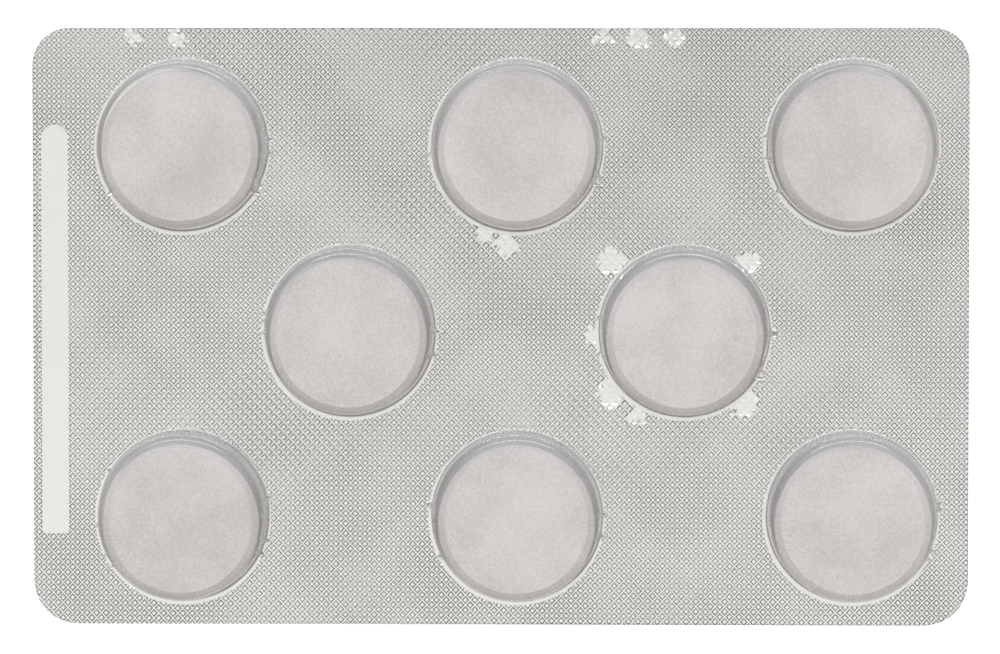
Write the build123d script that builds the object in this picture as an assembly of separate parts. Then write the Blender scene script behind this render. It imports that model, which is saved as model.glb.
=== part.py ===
from build123d import *
import math
import os

# A push-through blister pack: a clear formed web with round pockets in three staggered rows,
# closed underneath by aluminium lidding foil, with one bevelled tablet in each pocket.
# All sizes are in millimetres. The pack lies on its foil with the pockets up. +X runs along
# its length, +Y across it, and the origin is the middle of the foil's underside.

# The die-cut card
pack_length = 94.0
pack_width = 60.0
far_corner_radius = 3.7        # the two corners on the +Y edge
near_corner_radius = 4.5       # the two corners on the -Y edge

# The two sheets that are sealed together
foil_thickness = 0.03
web_thickness = 0.25           # the formed sheet where it stays flat

# One tablet
tablet_diameter = 15.44
tablet_thickness = 4.3
bevel_width = 0.58             # across the tablet's face
bevel_height = 0.42            # down its side
bevel_rounding = 0.12          # at each edge of the bevel

# One pocket, drawn down from the web and so thinner than it
wall_thickness = 0.18
roof_thickness = 0.20
mouth_clearance = 0.60         # from a centred tablet's side to the wall, at the foil
roof_clearance = 0.50          # from the tablet's face to the underside of the roof
wall_draft = 2.4               # degrees off vertical, narrowing towards the roof
roof_rounding = 0.75           # outside, where the wall turns into the roof
foot_rounding = 0.35           # outside, where the wall turns into the flat web
rest_gap = 0.06                # between a tablet and the wall that it has slid up to

# The flat seal between the pockets and the card's edges
left_margin = 6.65             # the wide end, where a pack carries its batch strip
right_margin = 3.20
far_margin = 3.25
near_margin = 2.55

# Pockets in each row, from the +Y edge to the -Y edge
row_counts = [3, 2, 3]


tablet_radius = tablet_diameter / 2
web_top = foil_thickness + web_thickness
roof_underside = foil_thickness + tablet_thickness + roof_clearance
roof_top = roof_underside + roof_thickness
wall_slope = math.tan(math.radians(wall_draft))


def inner_radius(z):
    """Radius of the inside of a pocket's wall at height z."""
    return tablet_radius + mouth_clearance - (z - foil_thickness) * wall_slope


def outer_radius(z):
    """Radius of the outside of a pocket's wall at height z."""
    return inner_radius(z) + wall_thickness


pocket_radius = outer_radius(web_top)


def pocket_centres():
    """Centres of the pockets, row by row from the +Y edge, left to right."""
    longest_row = max(row_counts)
    first_x = -pack_length / 2 + left_margin + pocket_radius
    last_x = pack_length / 2 - right_margin - pocket_radius
    first_y = pack_width / 2 - far_margin - pocket_radius
    last_y = -pack_width / 2 + near_margin + pocket_radius
    column_pitch = (last_x - first_x) / (longest_row - 1)
    row_pitch = (first_y - last_y) / (len(row_counts) - 1)
    centres = []
    for row, count in enumerate(row_counts):
        indent = (longest_row - count) * column_pitch / 2
        for column in range(count):
            centres.append((first_x + indent + column * column_pitch, first_y - row * row_pitch))
    return centres


def sheet(bottom, thickness):
    """A flat sheet with the card's outline."""
    outline = Rectangle(pack_length, pack_width)
    outline = fillet(outline.vertices().group_by(Axis.Y)[0], near_corner_radius)
    outline = fillet(outline.vertices().group_by(Axis.Y)[-1], far_corner_radius)
    return Pos(0, 0, bottom) * extrude(outline, thickness)


def turned(points, roundings):
    """A solid of revolution about Z from a closed outline of (radius, height) points."""
    outline = FilletPolyline(*points, radius=roundings, close=True)
    return revolve(Plane.XZ * make_face(outline), Axis.Z)


def pocket_outside():
    """The outside of one pocket, with a collar that lies inside the flat web."""
    collar_radius = pocket_radius + 2 * foot_rounding
    points = [
        (0, foil_thickness),
        (collar_radius, foil_thickness),
        (collar_radius, web_top),
        (pocket_radius, web_top),
        (outer_radius(roof_top), roof_top),
        (0, roof_top),
    ]
    return turned(points, [0, 0, 0, foot_rounding, roof_rounding, 0])


def pocket_inside():
    """The hollow of one pocket, flared at its mouth, with a collar below the web."""
    mouth_radius = inner_radius(foil_thickness)
    mouth_rounding = foot_rounding + wall_thickness
    collar_radius = mouth_radius + 2 * mouth_rounding
    below = foil_thickness - mouth_rounding
    points = [
        (0, below),
        (collar_radius, below),
        (collar_radius, foil_thickness),
        (mouth_radius, foil_thickness),
        (inner_radius(roof_underside), roof_underside),
        (0, roof_underside),
    ]
    return turned(points, [0, 0, 0, mouth_rounding, roof_rounding - wall_thickness, 0])


def formed_web():
    """The clear sheet with all its pockets, as it comes off the forming plate."""
    web = sheet(foil_thickness, web_thickness)
    outside = pocket_outside()
    inside = pocket_inside()
    places = [Pos(x, y) for x, y in pocket_centres()]
    web = web + [place * outside for place in places]
    return web - [place * inside for place in places]


def tablet():
    """One flat round tablet with a bevel round both faces, standing on the foil."""
    face_radius = tablet_radius - bevel_width
    points = [
        (0, 0),
        (face_radius, 0),
        (tablet_radius, bevel_height),
        (tablet_radius, tablet_thickness - bevel_height),
        (face_radius, tablet_thickness),
        (0, tablet_thickness),
    ]
    roundings = [0, bevel_rounding, bevel_rounding, bevel_rounding, bevel_rounding, 0]
    return Pos(0, 0, foil_thickness) * turned(points, roundings)


def tablet_slide():
    """How far a loose tablet slides before its upper rim meets the sloping wall."""
    rim_height = foil_thickness + tablet_thickness - bevel_height
    return inner_radius(rim_height) - tablet_radius - rest_gap


os.makedirs("parts", exist_ok=True)
export_step(sheet(0, foil_thickness), "parts/lidding_foil.step")
export_step(formed_web(), "parts/formed_web.step")

# Every tablet has slid towards the near edge of its pocket
one_tablet = tablet()
for number, (x, y) in enumerate(pocket_centres(), start=1):
    export_step(Pos(x, y - tablet_slide()) * one_tablet, f"parts/tablet_{number}.step")
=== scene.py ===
import math
import random

import bmesh
import bpy
from mathutils import Matrix, Vector


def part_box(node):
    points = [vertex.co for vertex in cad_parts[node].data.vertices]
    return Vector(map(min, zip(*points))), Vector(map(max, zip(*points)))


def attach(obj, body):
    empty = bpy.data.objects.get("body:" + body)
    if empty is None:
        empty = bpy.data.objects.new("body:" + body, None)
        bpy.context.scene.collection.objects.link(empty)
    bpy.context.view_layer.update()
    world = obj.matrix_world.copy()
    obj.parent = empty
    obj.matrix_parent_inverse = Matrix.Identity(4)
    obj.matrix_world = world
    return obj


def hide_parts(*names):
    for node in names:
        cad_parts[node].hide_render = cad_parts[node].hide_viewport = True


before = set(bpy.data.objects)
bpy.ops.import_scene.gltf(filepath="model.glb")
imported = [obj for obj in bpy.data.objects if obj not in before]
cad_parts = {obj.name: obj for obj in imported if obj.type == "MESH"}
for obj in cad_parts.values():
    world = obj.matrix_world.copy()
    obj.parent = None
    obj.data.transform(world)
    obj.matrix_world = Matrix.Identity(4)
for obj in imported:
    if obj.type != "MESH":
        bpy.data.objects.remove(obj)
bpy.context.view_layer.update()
mm = 0.001


# ---- Lidding foil ----------------------------------------------------------------------------
# Hard-rolled aluminium foil, heat-sealed under the film. The hot plate that seals it is knurled,
# so the foil is bitten all over into rows of flat-topped diamonds. The plate is relieved over
# each pocket and along the batch strip, where the foil stays plain.

foil_low, foil_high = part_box("lidding_foil")
foil_thickness = foil_high.z - foil_low.z
far_corner_radius = 3.7 * mm
near_corner_radius = 4.5 * mm

diamond_length = 0.966 * mm      # along X, from one corner of a diamond to the next
diamond_width = 1.020 * mm       # along Y
knurl_turn = math.radians(-0.25)
groove_width = 0.125 * mm        # the flat line between two diamonds
slope_width = 0.122 * mm
relief = 0.096 * mm
weld_distance = 0.004 * mm

tablet_nodes = [f"tablet_{number}" for number in range(1, 9)]
tablet_slide = 0.377 * mm        # each loose tablet lies this far towards the near edge
relieved_radius = 8.88 * mm      # of the hole in the sealing plate over each pocket
relieved_shift = Vector((-0.08 * mm, -0.22 * mm))
strip_width = 2.70 * mm
strip_middle = -44.8 * mm
strip_far_end = 20.3 * mm
strip_near_end = -20.9 * mm

pocket_centres = []
for node in tablet_nodes:
    low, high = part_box(node)
    pocket_centres.append(Vector(((low.x + high.x) / 2, (low.y + high.y) / 2 + tablet_slide)))


def card_outline(inset=0.0, steps=10):
    """The card's outline as points, counterclockwise from the near right corner."""
    left, right = foil_low.x + inset, foil_high.x - inset
    near, far = foil_low.y + inset, foil_high.y - inset
    corners = (
        (right, near, -90, near_corner_radius),
        (right, far, 0, far_corner_radius),
        (left, far, 90, far_corner_radius),
        (left, near, 180, near_corner_radius),
    )
    points = []
    for x, y, start, radius in corners:
        radius -= inset
        centre = Vector((x - math.copysign(radius, x), y - math.copysign(radius, y)))
        for step in range(steps + 1):
            angle = math.radians(start + 90 * step / steps)
            points.append(centre + radius * Vector((math.cos(angle), math.sin(angle))))
    return points


def ring(centre, radius, steps=160):
    """Points round a circle."""
    turns = (2 * math.pi * step / steps for step in range(steps))
    return [centre + radius * Vector((math.cos(turn), math.sin(turn))) for turn in turns]


def strip_outline(grow):
    """The batch strip: half round at its far end, square with small corners at its near end."""
    half = strip_width / 2 + grow
    top = strip_far_end + grow - half
    bottom = strip_near_end - grow
    arc = [math.radians(12 * step) for step in range(16)]
    points = [Vector((strip_middle + half * math.cos(a), top + half * math.sin(a))) for a in arc]
    corner = 0.35 * mm
    points += [
        Vector((strip_middle - half, bottom + corner)),
        Vector((strip_middle - half + corner, bottom)),
        Vector((strip_middle + half - corner, bottom)),
        Vector((strip_middle + half, bottom + corner)),
    ]
    return points


def add_prism(mesh, outline, bottom, top):
    """Adds a closed upright prism over an outline to a bmesh."""
    lower = [mesh.verts.new((p.x, p.y, bottom)) for p in outline]
    upper = [mesh.verts.new((p.x, p.y, top)) for p in outline]
    mesh.faces.new(reversed(lower))
    mesh.faces.new(upper)
    for here in range(len(outline)):
        there = (here + 1) % len(outline)
        mesh.faces.new((lower[here], lower[there], upper[there], upper[here]))


def new_object(name, mesh):
    """Turns a bmesh into a linked object and frees it."""
    data = bpy.data.meshes.new(name)
    mesh.to_mesh(data)
    mesh.free()
    thing = bpy.data.objects.new(name, data)
    bpy.context.collection.objects.link(thing)
    return thing


def prisms(name, outlines, bottom, top):
    """An object of closed prisms."""
    mesh = bmesh.new()
    for outline in outlines:
        add_prism(mesh, outline, bottom, top)
    return new_object(name, mesh)


def made_plain(thing):
    """Replaces an object's mesh with what its modifiers make of it, and drops them."""
    graph = bpy.context.evaluated_depsgraph_get()
    made = bpy.data.meshes.new_from_object(thing.evaluated_get(graph))
    thing.modifiers.clear()
    thing.data = made
    return thing


def add(tree, kind, inputs=None, **settings):
    """Adds a node with its settings, and sets or links the inputs that are given."""
    node = tree.nodes.new(kind)
    for name, value in settings.items():
        setattr(node, name, value)
    for socket, value in (inputs or {}).items():
        if isinstance(value, bpy.types.NodeSocket):
            tree.links.new(value, node.inputs[socket])
        else:
            node.inputs[socket].default_value = value
    return node


def maths(tree, operation, *values):
    """A maths node's result."""
    return add(tree, "ShaderNodeMath", dict(enumerate(values)), operation=operation).outputs[0]


def vector_maths(tree, operation, *values):
    """A vector maths node's result."""
    node = add(tree, "ShaderNodeVectorMath", dict(enumerate(values)), operation=operation)
    scalar = operation in ("LENGTH", "DISTANCE", "DOT_PRODUCT")
    return node.outputs["Value" if scalar else "Vector"]


def eased(tree, value, start, end, low=0.0, high=1.0):
    """Smoothly carries value from low at start to high at end."""
    inputs = {"Value": value, "From Min": start, "From Max": end, "To Min": low, "To Max": high}
    return add(tree, "ShaderNodeMapRange", inputs, interpolation_type="SMOOTHSTEP").outputs["Result"]


def noise(tree, place, scale, detail):
    """Noise from 0 to 1, with its scale per metre."""
    inputs = {"Vector": place, "Scale": scale, "Detail": detail}
    return add(tree, "ShaderNodeTexNoise", inputs).outputs["Fac"]


def blended(tree, share, first, second):
    """The first colour where share is 0 and the second where it is 1."""
    node = add(tree, "ShaderNodeMix", data_type="RGBA")
    colour_a, colour_b = (socket for socket in node.inputs if socket.identifier in ("A_Color", "B_Color"))
    tree.links.new(share, node.inputs["Factor"])
    for socket, colour in ((colour_a, first), (colour_b, second)):
        if isinstance(colour, bpy.types.NodeSocket):
            tree.links.new(colour, socket)
        else:
            socket.default_value = (*colour, 1.0)
    return next(socket for socket in node.outputs if socket.identifier == "Result_Color")


# Where the sealing plate bit lightly, in millimetres: the middle of the patch along X and Y, how
# far it reaches, and which share of the knurl is lost at its middle.
weak_bites = (
    (-36.8, 29.0, 3.2, 0.62),
    (-32.4, 29.0, 3.2, 0.62),
    (10.2, 29.2, 3.0, 0.66),
    (13.9, 28.9, 3.0, 0.70),
    (17.6, 29.2, 3.0, 0.64),
    (0.6, 8.2, 3.0, 0.85),
    (-1.6, 9.4, 2.2, 0.80),
    (11.2, 6.6, 3.2, 0.85),
    (24.9, 6.6, 2.8, 0.75),
    (11.2, -6.4, 3.4, 0.85),
    (13.8, -9.0, 2.6, 0.75),
    (24.4, -7.6, 3.4, 0.80),
    (9.2, -0.8, 2.2, 0.75),
)


def bite_strength(tree, place):
    """How fully the knurl is pressed at a place: 1 is full, 0 is left flat."""
    lost = 0.0
    for x, y, reach, amount in weak_bites:
        away = vector_maths(tree, "DISTANCE", place, (x * mm, y * mm, 0))
        share = eased(tree, away, 0.0, reach * mm, amount, 0.0)
        lost = maths(tree, "MAXIMUM", lost, share)
    uneven = maths(tree, "ADD", noise(tree, place, 1100.0, 1.0), 0.38)
    held = eased(tree, maths(tree, "MULTIPLY", lost, uneven), 0.44, 0.50, 1.0, 0.03)
    pressure = eased(tree, noise(tree, place, 110.0, 1.0), 0.3, 0.7, 0.94, 1.04)
    return maths(tree, "MULTIPLY", held, pressure)


def knurl_tree():
    """Geometry Nodes for a knurled sheet: diamonds above, matching pits below, closed at its edge."""
    tree = bpy.data.node_groups.new("knurled sheet", "GeometryNodeTree")
    tree.interface.new_socket("Geometry", in_out="OUTPUT", socket_type="NodeSocketGeometry")
    for name in (
        "Length", "Width", "Diamond Length", "Diamond Width",
        "Groove", "Slope", "Relief", "Thickness", "Turn",
    ):
        tree.interface.new_socket(name, in_out="INPUT", socket_type="NodeSocketFloat")
    tree.interface.new_socket("Material", in_out="INPUT", socket_type="NodeSocketMaterial")
    given = add(tree, "NodeGroupInput").outputs

    # A diamond at every point of two grids, the second half a diamond along from the first
    columns = maths(tree, "CEIL", maths(tree, "DIVIDE", given["Length"], given["Diamond Length"]))
    rows = maths(tree, "CEIL", maths(tree, "DIVIDE", given["Width"], given["Diamond Width"]))
    grid = add(tree, "GeometryNodeMeshGrid", {
        "Size X": maths(tree, "MULTIPLY", columns, given["Diamond Length"]),
        "Size Y": maths(tree, "MULTIPLY", rows, given["Diamond Width"]),
        "Vertices X": maths(tree, "ADD", columns, 1.0),
        "Vertices Y": maths(tree, "ADD", rows, 1.0),
    }).outputs["Mesh"]
    half_step = add(tree, "ShaderNodeCombineXYZ", {
        "X": maths(tree, "MULTIPLY", given["Diamond Length"], 0.5),
        "Y": maths(tree, "MULTIPLY", given["Diamond Width"], 0.5),
    }).outputs[0]
    shifted = add(tree, "GeometryNodeTransform", {"Geometry": grid, "Translation": half_step})
    points = add(tree, "GeometryNodeJoinGeometry")
    tree.links.new(grid, points.inputs[0])
    tree.links.new(shifted.outputs[0], points.inputs[0])
    size = add(tree, "ShaderNodeCombineXYZ", {
        "X": given["Diamond Length"], "Y": given["Diamond Width"], "Z": 1.0}).outputs[0]

    # The upper side of one diamond: half the groove all round, four slopes and a flat top
    diagonal = vector_maths(tree, "LENGTH", add(tree, "ShaderNodeCombineXYZ", {
        "X": given["Diamond Length"], "Y": given["Diamond Width"]}).outputs[0])
    area = maths(tree, "MULTIPLY", given["Diamond Length"], given["Diamond Width"])
    across = maths(tree, "DIVIDE", area, diagonal)
    foot = maths(tree, "SUBTRACT", across, given["Groove"])
    top = maths(tree, "SUBTRACT", foot, maths(tree, "MULTIPLY", given["Slope"], 2.0))
    plan = add(tree, "GeometryNodeMeshCircle", {"Vertices": 4, "Radius": 0.5}, fill_type="NGON")
    plan = add(tree, "GeometryNodeTransform", {"Geometry": plan.outputs[0], "Scale": size})
    groove = add(tree, "GeometryNodeExtrudeMesh", {"Mesh": plan.outputs[0], "Offset Scale": 0.0})
    inset = add(tree, "GeometryNodeScaleElements", {
        "Geometry": groove.outputs["Mesh"],
        "Selection": groove.outputs["Top"],
        "Scale": maths(tree, "DIVIDE", foot, across),
    })
    rise = add(tree, "ShaderNodeCombineXYZ", {"Z": given["Relief"]}).outputs[0]
    raised = add(tree, "GeometryNodeExtrudeMesh", {
        "Mesh": inset.outputs[0],
        "Selection": groove.outputs["Top"],
        "Offset": rise,
        "Offset Scale": 1.0,
    })
    diamond = add(tree, "GeometryNodeScaleElements", {
        "Geometry": raised.outputs["Mesh"],
        "Selection": raised.outputs["Top"],
        "Scale": maths(tree, "DIVIDE", top, foot),
    }).outputs[0]

    # The under side: a four-sided pit
    pit = add(tree, "GeometryNodeMeshCone", {
        "Vertices": 4, "Radius Top": 0.0, "Radius Bottom": 0.5, "Depth": given["Relief"],
    }, fill_type="NONE")
    pit = add(tree, "GeometryNodeTransform", {"Geometry": pit.outputs["Mesh"], "Scale": size})

    def spread(cell):
        """The cell on every point, welded into one sheet and pressed as fully as the plate bit."""
        placed = add(tree, "GeometryNodeInstanceOnPoints", {
            "Points": points.outputs[0], "Instance": cell})
        sheet = add(tree, "GeometryNodeRealizeInstances", {"Geometry": placed.outputs[0]}).outputs[0]
        turn = add(tree, "ShaderNodeCombineXYZ", {"Z": given["Turn"]}).outputs[0]
        sheet = add(tree, "GeometryNodeTransform", {"Geometry": sheet, "Rotation": turn}).outputs[0]
        sheet = add(tree, "GeometryNodeMergeByDistance", {
            "Geometry": sheet, "Distance": weld_distance}).outputs[0]
        place = add(tree, "GeometryNodeInputPosition").outputs[0]
        parts = add(tree, "ShaderNodeSeparateXYZ", {"Vector": place}).outputs
        flat = add(tree, "ShaderNodeCombineXYZ", {"X": parts["X"], "Y": parts["Y"]}).outputs[0]
        height = maths(tree, "MULTIPLY", parts["Z"], bite_strength(tree, flat))
        pressed = add(tree, "ShaderNodeCombineXYZ", {"X": parts["X"], "Y": parts["Y"], "Z": height})
        return add(tree, "GeometryNodeSetPosition", {
            "Geometry": sheet, "Position": pressed.outputs[0]}).outputs[0]

    above = spread(diamond)
    below = spread(pit.outputs[0])
    lift = add(tree, "ShaderNodeCombineXYZ", {"Z": given["Thickness"]}).outputs[0]
    above = add(tree, "GeometryNodeTransform", {"Geometry": above, "Translation": lift}).outputs[0]
    faces_beside = add(tree, "GeometryNodeInputMeshEdgeNeighbors").outputs[0]
    rim = add(tree, "FunctionNodeCompare", {
        "A": faces_beside, "B": 1}, data_type="INT", operation="EQUAL")
    edge = add(tree, "GeometryNodeExtrudeMesh", {
        "Mesh": below, "Selection": rim.outputs[0], "Offset": lift, "Offset Scale": 1.0}, mode="EDGES")
    joined = add(tree, "GeometryNodeJoinGeometry")
    tree.links.new(above, joined.inputs[0])
    tree.links.new(edge.outputs["Mesh"], joined.inputs[0])
    closed = add(tree, "GeometryNodeMergeByDistance", {
        "Geometry": joined.outputs[0], "Distance": weld_distance})
    real = add(tree, "GeometryNodeRealizeInstances", {"Geometry": closed.outputs[0]})
    finished = add(tree, "GeometryNodeSetMaterial", {
        "Geometry": real.outputs[0], "Material": given["Material"]})
    add(tree, "NodeGroupOutput", {"Geometry": finished.outputs[0]})
    return tree


def foil_material():
    """Bright rolled foil: fine rolling lines, soft patches of painted shade and haze for handling waves,
    and a slightly warm lacquer.
    """
    material = bpy.data.materials.new("sealed aluminium foil")
    material.use_nodes = True
    tree = material.node_tree
    surface = tree.nodes["Principled BSDF"]
    surface.inputs["Metallic"].default_value = 1.0
    place = add(tree, "ShaderNodeTexCoord").outputs["Object"]
    wave_shade_and_haze = noise(tree, place, 45.0, 2.0)
    drawn_out = add(tree, "ShaderNodeMapping", {"Vector": place, "Scale": (300.0, 9000.0, 300.0)})
    rolled = noise(tree, drawn_out.outputs[0], 1.0, 2.0)
    grain = noise(tree, place, 6000.0, 2.0)
    # The colour is darker and lighter in soft broad patches: painted shade of handling waves, not waves in
    # the sheet's shape. The same patches vary the haze.
    tone = blended(tree, wave_shade_and_haze, (0.865, 0.855, 0.835), (0.90, 0.89, 0.865))
    tree.links.new(tone, surface.inputs["Base Color"])
    hazy = eased(tree, wave_shade_and_haze, 0.3, 0.7, 0.15, 0.19)
    streaky = eased(tree, rolled, 0.35, 0.65, -0.02, 0.04)
    tree.links.new(maths(tree, "ADD", hazy, streaky), surface.inputs["Roughness"])
    streaks = maths(tree, "MULTIPLY", rolled, 0.6)
    fine = maths(tree, "ADD", streaks, maths(tree, "MULTIPLY", grain, 0.4))
    bump = add(tree, "ShaderNodeBump", {"Height": fine, "Distance": 0.004 * mm, "Strength": 0.12})
    tree.links.new(bump.outputs[0], surface.inputs["Normal"])
    return material


foil = new_object("lidding_foil_knurled", bmesh.new())
knurl = foil.modifiers.new("knurl", "NODES")
knurl.node_group = knurl_tree()
foil_finish = foil_material()
knurl_inputs = {
    "Length": foil_high.x - foil_low.x + 2 * diamond_length,
    "Width": foil_high.y - foil_low.y + 2 * diamond_width,
    "Diamond Length": diamond_length,
    "Diamond Width": diamond_width,
    "Groove": groove_width,
    "Slope": slope_width,
    "Relief": relief,
    "Thickness": foil_thickness,
    "Turn": knurl_turn,
    "Material": foil_finish,
}
for item in knurl.node_group.interface.items_tree:
    if item.in_out == "INPUT":
        knurl[item.identifier] = knurl_inputs[item.name]
made_plain(foil)

mesh = bmesh.new()
mesh.from_mesh(foil.data)
bmesh.ops.recalc_face_normals(mesh, faces=mesh.faces)
mesh.to_mesh(foil.data)
mesh.free()


def relieved_outlines(grow):
    """The plain places in the seal: one round each pocket, and the batch strip."""
    rounds = [ring(centre + relieved_shift, relieved_radius + grow) for centre in pocket_centres]
    return rounds + [strip_outline(grow)]


overlap = 0.01 * mm
tall = 1.0 * mm
card = prisms("card", [card_outline()], -tall, tall)
holes = prisms("holes", relieved_outlines(0.0), -tall, tall)
plain = prisms("plain foil", relieved_outlines(overlap), 0.0, foil_thickness)
for operation, tool in (("INTERSECT", card), ("DIFFERENCE", holes), ("UNION", plain)):
    step = foil.modifiers.new(operation, "BOOLEAN")
    step.operation = operation
    step.object = tool
    step.solver = "MANIFOLD"
made_plain(foil)
for tool in (card, holes, plain):
    bpy.data.objects.remove(tool)
foil.data.materials.clear()
foil.data.materials.append(foil_finish)
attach(foil, "root")
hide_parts("lidding_foil")
print("foil triangles", sum(len(face.vertices) - 2 for face in foil.data.polygons))


# ---- Formed film -----------------------------------------------------------------------------
# One clear rigid film, drawn hot into round flat-topped pockets and sealed flat to the foil
# between them. The drawn walls are thinner than the flat film, and here and there the film is
# nipped where a pocket's wall leaves the seal.

web_low, web_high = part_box("formed_web")
web_top = foil_high.z + 0.25 * mm
web_underside = foil_high.z + 1.1 * relief + 0.010 * mm
wall_thickness = 0.18 * mm
roof_thickness = 0.20 * mm
wall_slope = math.tan(math.radians(2.4))
first_low, first_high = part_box("tablet_1")
mouth_radius = (first_high.x - first_low.x) / 2 + 0.60 * mm
roof_rounding = 0.75 * mm
foot_rounding = 0.35 * mm
rounding_steps = 7
collar_radius = 9.9 * mm         # where a pocket's mesh meets the flat film's
roof_sag = 0.16 * mm             # the drawn roof is crowned by this much
edge_lip = 0.10 * mm             # round the card's edge the film comes down to the foil
edge_clearance = 0.004 * mm

pocket_facets = 96
foot_radius = 8.5 * mm
nip_radius = 8.6 * mm            # a nip is deepest here, and fades away from it
nip_reach = 0.55 * mm
nip_rise = 1.6 * mm
nip_width = 0.19 * mm
nip_depth = 0.85 * mm
nip_spread = 0.65                # radians up and down a pocket's side that nips occur


def wall_inner(z):
    """Radius of the inside of a pocket's wall at height z."""
    return mouth_radius - (z - foil_high.z) * wall_slope


def rounded_path(points, roundings, steps):
    """A path through (radius, height) points with the middle corners rounded."""
    path = [Vector(points[0])]
    for before, corner, after, rounding in zip(points, points[1:], points[2:], roundings):
        before, corner, after = Vector(before), Vector(corner), Vector(after)
        back, on = (before - corner).normalized(), (after - corner).normalized()
        half = back.angle(on) / 2
        reach = rounding / math.tan(half)
        middle = corner + (back + on).normalized() * (rounding / math.sin(half))
        start, end = corner + back * reach - middle, corner + on * reach - middle
        sweep = start.angle_signed(end)
        for step in range(steps + 1):
            path.append(middle + Matrix.Rotation(-sweep * step / steps, 2) @ start)
    path.append(Vector(points[-1]))
    return path


def crowned(path):
    """The same path with its roof bent to a shallow crown."""
    middle, rest = path[0], path[1:]
    edge = rest[0]
    roof = []
    for share in (0.2, 0.4, 0.6, 0.75, 0.9):
        roof.append(Vector((edge.x * share, middle.y + (edge.y - middle.y) * share ** 2)))
    return [middle] + roof + rest


def film_path(outside):
    """The pocket's section from the roof's middle down and out to the collar."""
    if outside:
        points = [
            (0.0, web_high.z),
            (wall_inner(web_high.z) + wall_thickness, web_high.z - roof_sag),
            (wall_inner(web_top) + wall_thickness, web_top),
            (collar_radius, web_top),
        ]
        return crowned(rounded_path(points, (roof_rounding, foot_rounding), rounding_steps))
    roof = web_high.z - roof_thickness
    points = [
        (0.0, roof),
        (wall_inner(roof), roof - roof_sag),
        (wall_inner(web_underside), web_underside),
        (collar_radius, web_underside),
    ]
    roundings = (roof_rounding - wall_thickness, foot_rounding + wall_thickness)
    return crowned(rounded_path(points, roundings, rounding_steps))


def nipped(radius, height, angle, nips):
    """The radius of a point on a pocket's outside once the nips have drawn it out."""
    near_foot = math.exp(-((radius - nip_radius) / nip_reach) ** 2) * math.exp(-(height / nip_rise) ** 2)
    pull = 0.0
    for nip, depth in nips:
        away = math.remainder(angle - nip, 2 * math.pi) * foot_radius
        pull += depth * math.exp(-(away / nip_width) ** 2)
    return radius + pull * near_foot * nip_depth


def pocket_skin(mesh, centre, path, angles, nips, upward):
    """Adds one side of a pocket to a bmesh and returns the vertices of its collar."""
    rings = []
    for radius, height in path[1:]:
        row = []
        for angle in angles:
            out = nipped(radius, height, angle, nips)
            place = (centre.x + out * math.cos(angle), centre.y + out * math.sin(angle), height)
            row.append(mesh.verts.new(place))
        rings.append(row)
    middle = mesh.verts.new((centre.x, centre.y, path[0].y))
    count = len(angles)
    for here in range(count):
        there = (here + 1) % count
        triangle = (middle, rings[0][here], rings[0][there])
        mesh.faces.new(triangle if upward else reversed(triangle))
        for inner, outer in zip(rings, rings[1:]):
            quad = (inner[here], outer[here], outer[there], inner[there])
            mesh.faces.new(quad if upward else reversed(quad))
    return rings[-1]


def closed_loop(mesh, verts):
    """Edges through vertices in order and back to the first."""
    edges = []
    for here, there in zip(verts, verts[1:] + verts[:1]):
        edges.append(mesh.edges.get((here, there)) or mesh.edges.new((here, there)))
    return edges


def side_angle(chance):
    """An angle somewhere on a pocket's left or right side, where the film is nipped."""
    return chance.uniform(-nip_spread, nip_spread) + math.pi * chance.randint(0, 1)


def pocket_angles(nips):
    """Even angles round a pocket, with finer ones across each nip."""
    angles = {round(2 * math.pi * step / pocket_facets, 6) for step in range(pocket_facets)}
    fine_step = 0.09 * mm / foot_radius
    for nip, depth in nips:
        angles.update(round((nip + step * fine_step) % (2 * math.pi), 6) for step in range(-5, 6))
    return sorted(angles)


def build_film():
    """The whole film as one closed mesh."""
    mesh = bmesh.new()
    chance = random.Random(7)
    outline = card_outline()
    upper_rim = [mesh.verts.new((p.x, p.y, web_top)) for p in outline]
    lower_rim = [mesh.verts.new((p.x, p.y, foil_high.z + edge_clearance)) for p in outline]
    inset_rim = [mesh.verts.new((p.x, p.y, web_underside)) for p in card_outline(edge_lip)]
    upper_edges = closed_loop(mesh, upper_rim)
    lower_edges = closed_loop(mesh, inset_rim)
    for centre in pocket_centres:
        nips = [(side_angle(chance), chance.uniform(0.5, 1.0)) for _ in range(chance.randint(4, 7))]
        angles = pocket_angles(nips)
        outer_collar = pocket_skin(mesh, centre, film_path(True), angles, nips, True)
        inner_collar = pocket_skin(mesh, centre, film_path(False), angles, [], False)
        upper_edges += closed_loop(mesh, outer_collar)
        lower_edges += closed_loop(mesh, inner_collar)
    bmesh.ops.triangle_fill(mesh, edges=upper_edges, use_beauty=True, normal=(0, 0, 1))
    bmesh.ops.triangle_fill(mesh, edges=lower_edges, use_beauty=True, normal=(0, 0, -1))
    count = len(outline)
    for here in range(count):
        there = (here + 1) % count
        mesh.faces.new((lower_rim[here], lower_rim[there], upper_rim[there], upper_rim[here]))
        mesh.faces.new((inset_rim[here], inset_rim[there], lower_rim[there], lower_rim[here]))
    bmesh.ops.recalc_face_normals(mesh, faces=mesh.faces)
    for face in mesh.faces:
        face.smooth = True
    return mesh


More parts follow.
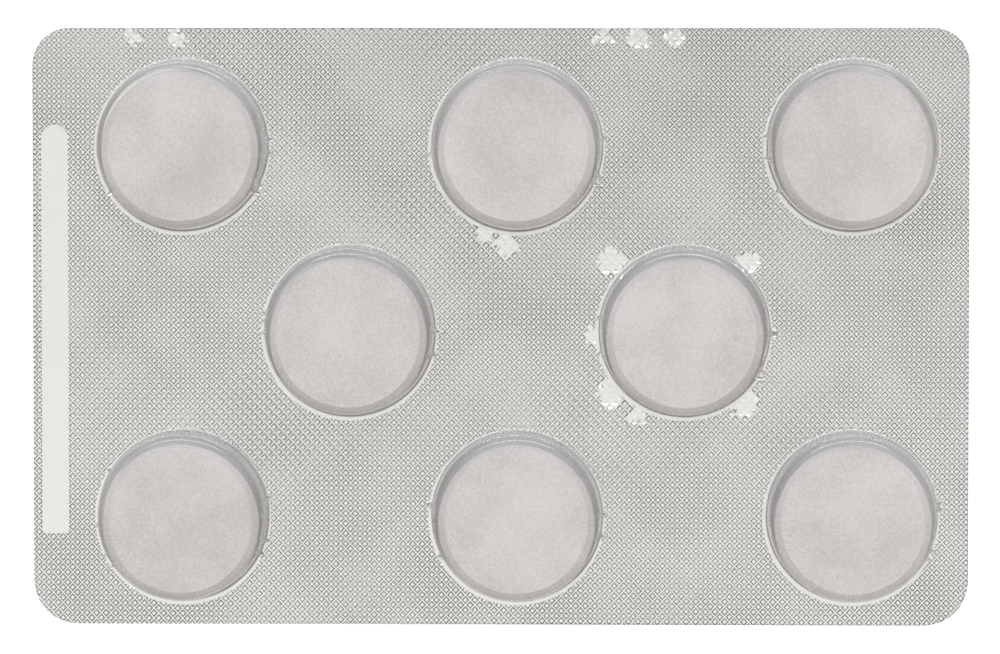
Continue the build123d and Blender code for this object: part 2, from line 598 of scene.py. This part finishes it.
def film_material():
    """Clear rigid film. Lamps, and light on its way off what lies under it, pass straight through."""
    material = bpy.data.materials.new("clear formed film")
    material.use_nodes = True
    tree = material.node_tree
    surface = tree.nodes["Principled BSDF"]
    surface.inputs["Base Color"].default_value = (0.975, 0.985, 0.99, 1.0)
    surface.inputs["Transmission Weight"].default_value = 1.0
    surface.inputs["IOR"].default_value = 1.53
    place = add(tree, "ShaderNodeTexCoord").outputs["Object"]
    haze = noise(tree, place, 120.0, 3.0)
    tree.links.new(eased(tree, haze, 0.3, 0.75, 0.0, 0.03), surface.inputs["Roughness"])
    peel = noise(tree, place, 260.0, 2.0)
    bump = add(tree, "ShaderNodeBump", {"Height": peel, "Distance": 0.02 * mm, "Strength": 0.2})
    tree.links.new(bump.outputs[0], surface.inputs["Normal"])
    path = add(tree, "ShaderNodeLightPath").outputs
    passing = maths(tree, "MAXIMUM", path["Is Shadow Ray"], path["Is Diffuse Ray"])
    passing = maths(tree, "MAXIMUM", passing, path["Is Glossy Ray"])
    clear = add(tree, "ShaderNodeBsdfTransparent", {"Color": (0.965, 0.97, 0.975, 1.0)})
    mix = add(tree, "ShaderNodeMixShader", {0: passing, 1: surface.outputs[0], 2: clear.outputs[0]})
    tree.links.new(mix.outputs[0], tree.nodes["Material Output"].inputs["Surface"])
    return material


film = new_object("formed_film", build_film())
film.data.materials.append(film_material())
film.data.set_sharp_from_angle(angle=math.radians(50))
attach(film, "root")
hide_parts("formed_web")
print("film triangles", sum(len(face.vertices) - 2 for face in film.data.polygons))


# ---- Tablets ---------------------------------------------------------------------------------
# Flat round tablets pressed from white powder, with a bevel round both faces. Each lies loose in
# its pocket on the foil, and all have slid to the near wall.

bevel_width = 0.58 * mm
bevel_height = 0.42 * mm
bevel_rounding = 0.12 * mm
tablet_facets = 144


def tablet_material():
    """Pressed white powder: matt, faintly mottled, with a fine grain."""
    material = bpy.data.materials.new("pressed white tablet")
    material.use_nodes = True
    tree = material.node_tree
    surface = tree.nodes["Principled BSDF"]
    place = add(tree, "ShaderNodeTexCoord").outputs["Object"]
    mottle = noise(tree, place, 160.0, 3.0)
    grain = noise(tree, place, 5200.0, 3.0)
    speckle = maths(tree, "MULTIPLY", grain, 0.55)
    powder = maths(tree, "ADD", maths(tree, "MULTIPLY", mottle, 0.45), speckle)
    tone = blended(tree, eased(tree, powder, 0.3, 0.7), (0.565, 0.522, 0.495), (0.755, 0.707, 0.68))
    tree.links.new(tone, surface.inputs["Base Color"])
    surface.inputs["Roughness"].default_value = 0.6
    bump = add(tree, "ShaderNodeBump", {"Height": grain, "Distance": 0.012 * mm, "Strength": 0.5})
    tree.links.new(bump.outputs[0], surface.inputs["Normal"])
    return material


def build_tablet(low, high):
    """One tablet standing in its CAD box."""
    radius = (high.x - low.x) / 2
    face_radius = radius - bevel_width
    centre = Vector(((low.x + high.x) / 2, (low.y + high.y) / 2))
    points = [
        (0.0, low.z), (face_radius, low.z), (radius, low.z + bevel_height),
        (radius, high.z - bevel_height), (face_radius, high.z), (0.0, high.z),
    ]
    path = rounded_path(points, [bevel_rounding] * 4, 4)
    mesh = bmesh.new()
    around = tablet_facets
    rings = []
    for distance, height in path[1:-1]:
        points = ring(centre, distance, around)
        rings.append([mesh.verts.new((p.x, p.y, height)) for p in points])
    bottom = mesh.verts.new((centre.x, centre.y, low.z))
    top = mesh.verts.new((centre.x, centre.y, high.z))
    for here in range(around):
        there = (here + 1) % around
        mesh.faces.new((bottom, rings[0][there], rings[0][here]))
        mesh.faces.new((top, rings[-1][here], rings[-1][there]))
        for lower, upper in zip(rings, rings[1:]):
            mesh.faces.new((lower[here], lower[there], upper[there], upper[here]))
    for face in mesh.faces:
        face.smooth = True
    return mesh


tablet_finish = tablet_material()
for node in tablet_nodes:
    low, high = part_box(node)
    tablet = new_object(node + "_pressed", build_tablet(low, high))
    tablet.data.materials.append(tablet_finish)
    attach(tablet, "root")
    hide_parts(node)


# ---- Floor, light and camera -----------------------------------------------------------------
# The pack lies on a plain white floor under a soft overhead tent that darkens towards its skirt,
# with one bright window beyond the far edge and a darker gap nearly overhead.

floor_radius = 1.2
floor_facets = 64
floor = prisms("floor", [ring(Vector((0, 0)), floor_radius, floor_facets)], -2.0 * mm, -0.03 * mm)
paint = bpy.data.materials.new("white floor")
paint.use_nodes = True
tree = paint.node_tree
tree.nodes.remove(tree.nodes["Principled BSDF"])
path = add(tree, "ShaderNodeLightPath").outputs
mirrored = maths(tree, "MAXIMUM", path["Is Glossy Ray"], path["Is Transmission Ray"])
seen = maths(tree, "MAXIMUM", path["Is Camera Ray"], mirrored)
matt = add(tree, "ShaderNodeBsdfDiffuse", {"Color": (0.80, 0.80, 0.80, 1.0)})
glow = add(tree, "ShaderNodeEmission", {
    "Color": (1.0, 1.0, 1.0, 1.0), "Strength": maths(tree, "MULTIPLY", seen, 0.5)})
both = add(tree, "ShaderNodeAddShader", {0: matt.outputs[0], 1: glow.outputs[0]})
tree.links.new(both.outputs[0], tree.nodes["Material Output"].inputs["Surface"])
floor.data.materials.append(paint)

world = bpy.data.worlds.new("soft tent")
bpy.context.scene.world = world
world.use_nodes = True
tree = world.node_tree
way = add(tree, "ShaderNodeTexCoord").outputs["Generated"]
parts = add(tree, "ShaderNodeSeparateXYZ", {"Vector": way}).outputs


def scaled(colour, share):
    """A colour or a light of the world times a share."""
    return add(tree, "ShaderNodeVectorMath", {0: colour, "Scale": share}, operation="SCALE").outputs[0]


# The tent, bright overhead, and its cooler far side
light = blended(tree, eased(tree, parts["Z"], 0.34, 0.74), (0.02, 0.021, 0.022), (1.06, 1.04, 1.01))
far_side = maths(tree, "MULTIPLY", eased(tree, parts["Y"], 0.45, 0.85), eased(tree, parts["Z"], 0.20, 0.45))
light = blended(tree, far_side, light, (0.70, 0.74, 0.80))

# The gap nearly overhead
from_gap = vector_maths(tree, "DISTANCE", way, (0.0, 0.11, 0.99))
light = scaled(light, eased(tree, from_gap, 0.02, 0.13, 0.12, 1.0))

# The window, and an even light from below for the under side when the floor is taken away
window = maths(tree, "MULTIPLY", eased(tree, parts["Y"], 0.55, 0.60), eased(tree, parts["Y"], 0.71, 0.66))
window = maths(tree, "MULTIPLY", window, eased(tree, maths(tree, "ABSOLUTE", parts["X"]), 0.42, 0.34))
window = maths(tree, "MULTIPLY", window, eased(tree, parts["Z"], 0.3, 0.4))
light = vector_maths(tree, "ADD", light, scaled((9.4, 9.9, 10.8), window))
from_below = scaled((0.8, 0.8, 0.8), eased(tree, parts["Z"], -0.10, -0.45))
light = vector_maths(tree, "ADD", light, from_below)
tree.links.new(light, tree.nodes["Background"].inputs["Color"])

camera = bpy.data.objects.new("camera", bpy.data.cameras.new("camera"))
bpy.context.collection.objects.link(camera)
stand = Vector((0.015, 0.025, 0.560))
look_at = Vector((0.0, 0.0, 0.0005))
back = (stand - look_at).normalized()
right = Vector((0.0, 1.0, 0.0)).cross(back).normalized()
turn = Matrix((right, back.cross(right), back)).transposed()
camera.location = stand
camera.rotation_euler = turn.to_euler()
camera.data.lens = 201.0
bpy.context.scene.camera = camera
bpy.context.scene.view_settings.view_transform = "Standard"
